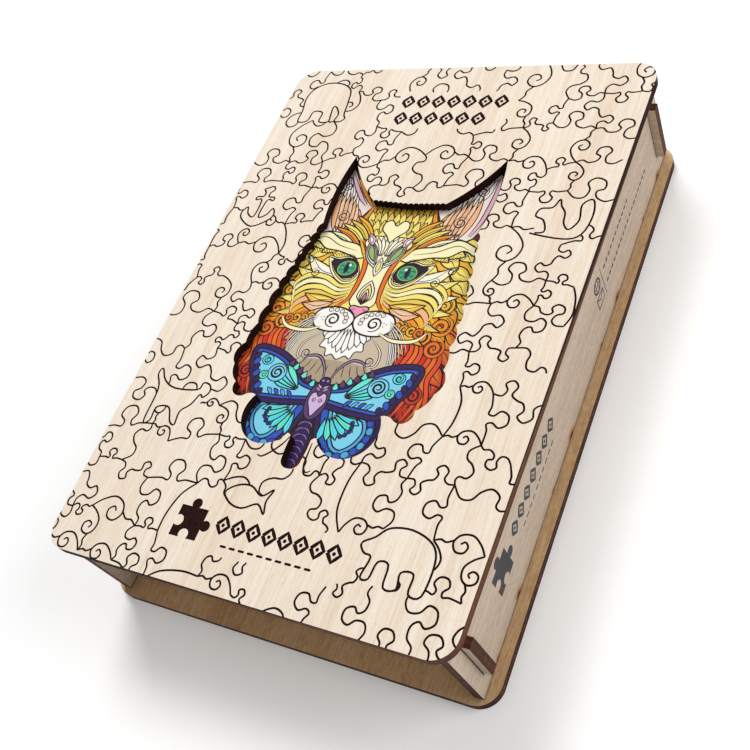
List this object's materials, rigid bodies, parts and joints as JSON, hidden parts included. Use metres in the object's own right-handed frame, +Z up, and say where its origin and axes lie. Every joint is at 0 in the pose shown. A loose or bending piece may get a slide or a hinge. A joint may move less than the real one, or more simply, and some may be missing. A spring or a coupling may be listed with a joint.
{
  "type": "boxed jigsaw puzzle",
  "caption": "Wooden jigsaw puzzle in a laser-cut plywood box with a lift-off lid, engraved with curly cutting lines round a window onto a printed cat and butterfly.",
  "frame": {"origin": "centre of the base plate's underside", "axes": "+X towards the printed side wall, +Y up the picture, +Z up through the lid"},
  "size_m": [0.17, 0.248, 0.051],
  "materials": {
    "basswood_ply_face": "matte",
    "ply_wall": "matte",
    "ply_base": "matte",
    "printed_picture": "satin",
    "printed_jigsaw": "satin"
  },
  "bodies": {
    "base": {"base_plate": "ply_base", "long_wall_left": "ply_wall", "long_wall_right": "ply_wall", "short_wall_front": "ply_wall", "short_wall_back": "ply_wall"},
    "lid": {"lid_plate": "basswood_ply_face", "picture_panel": "printed_picture", "lid_batten_left": "ply_wall", "lid_batten_right": "ply_wall", "lid_batten_front": "ply_wall", "lid_batten_back": "ply_wall"},
    "jigsaw": {"jigsaw_piece_r1c1": "printed_jigsaw", "jigsaw_piece_r1c2": "printed_jigsaw", "jigsaw_piece_r1c3": "printed_jigsaw", "jigsaw_piece_r1c4": "printed_jigsaw", "jigsaw_piece_r1c5": "printed_jigsaw", "jigsaw_piece_r1c6": "printed_jigsaw", "jigsaw_piece_r2c1": "printed_jigsaw", "jigsaw_piece_r2c2": "printed_jigsaw", "jigsaw_piece_r2c3": "printed_jigsaw", "jigsaw_piece_r2c4": "printed_jigsaw", "jigsaw_piece_r2c5": "printed_jigsaw", "jigsaw_piece_r2c6": "printed_jigsaw", "jigsaw_piece_r3c1": "printed_jigsaw", "jigsaw_piece_r3c2": "printed_jigsaw", "jigsaw_piece_r3c3": "printed_jigsaw", "jigsaw_piece_r3c4": "printed_jigsaw", "jigsaw_piece_r3c5": "printed_jigsaw", "jigsaw_piece_r3c6": "printed_jigsaw", "jigsaw_piece_r4c1": "printed_jigsaw", "jigsaw_piece_r4c2": "printed_jigsaw", "jigsaw_piece_r4c3": "printed_jigsaw", "jigsaw_piece_r4c4": "printed_jigsaw", "jigsaw_piece_r4c5": "printed_jigsaw", "jigsaw_piece_r4c6": "printed_jigsaw", "jigsaw_piece_r5c1": "printed_jigsaw", "jigsaw_piece_r5c2": "printed_jigsaw", "jigsaw_piece_r5c3": "printed_jigsaw", "jigsaw_piece_r5c4": "printed_jigsaw", "jigsaw_piece_r5c5": "printed_jigsaw", "jigsaw_piece_r5c6": "printed_jigsaw", "jigsaw_piece_r6c1": "printed_jigsaw", "jigsaw_piece_r6c2": "printed_jigsaw", "jigsaw_piece_r6c3": "printed_jigsaw", "jigsaw_piece_r6c4": "printed_jigsaw", "jigsaw_piece_r6c5": "printed_jigsaw", "jigsaw_piece_r6c6": "printed_jigsaw", "jigsaw_piece_r7c1": "printed_jigsaw", "jigsaw_piece_r7c2": "printed_jigsaw", "jigsaw_piece_r7c3": "printed_jigsaw", "jigsaw_piece_r7c4": "printed_jigsaw", "jigsaw_piece_r7c5": "printed_jigsaw", "jigsaw_piece_r7c6": "printed_jigsaw", "jigsaw_piece_r8c1": "printed_jigsaw", "jigsaw_piece_r8c2": "printed_jigsaw", "jigsaw_piece_r8c3": "printed_jigsaw", "jigsaw_piece_r8c4": "printed_jigsaw", "jigsaw_piece_r8c5": "printed_jigsaw", "jigsaw_piece_r8c6": "printed_jigsaw"}
  },
  "joints": [
    {"name": "lid_lift", "type": "slide", "parent": "base", "child": "lid", "axis": [0, 0, 1], "range_m": [0, 0.16]},
    {"name": "jigsaw_lift", "type": "slide", "parent": "base", "child": "jigsaw", "axis": [0, 0, 1], "range_m": [0, 0.072]}
  ],
  "couplings": [
    {"joint": "jigsaw_lift", "follows": "lid_lift", "ratio": 0.45}
  ]
}
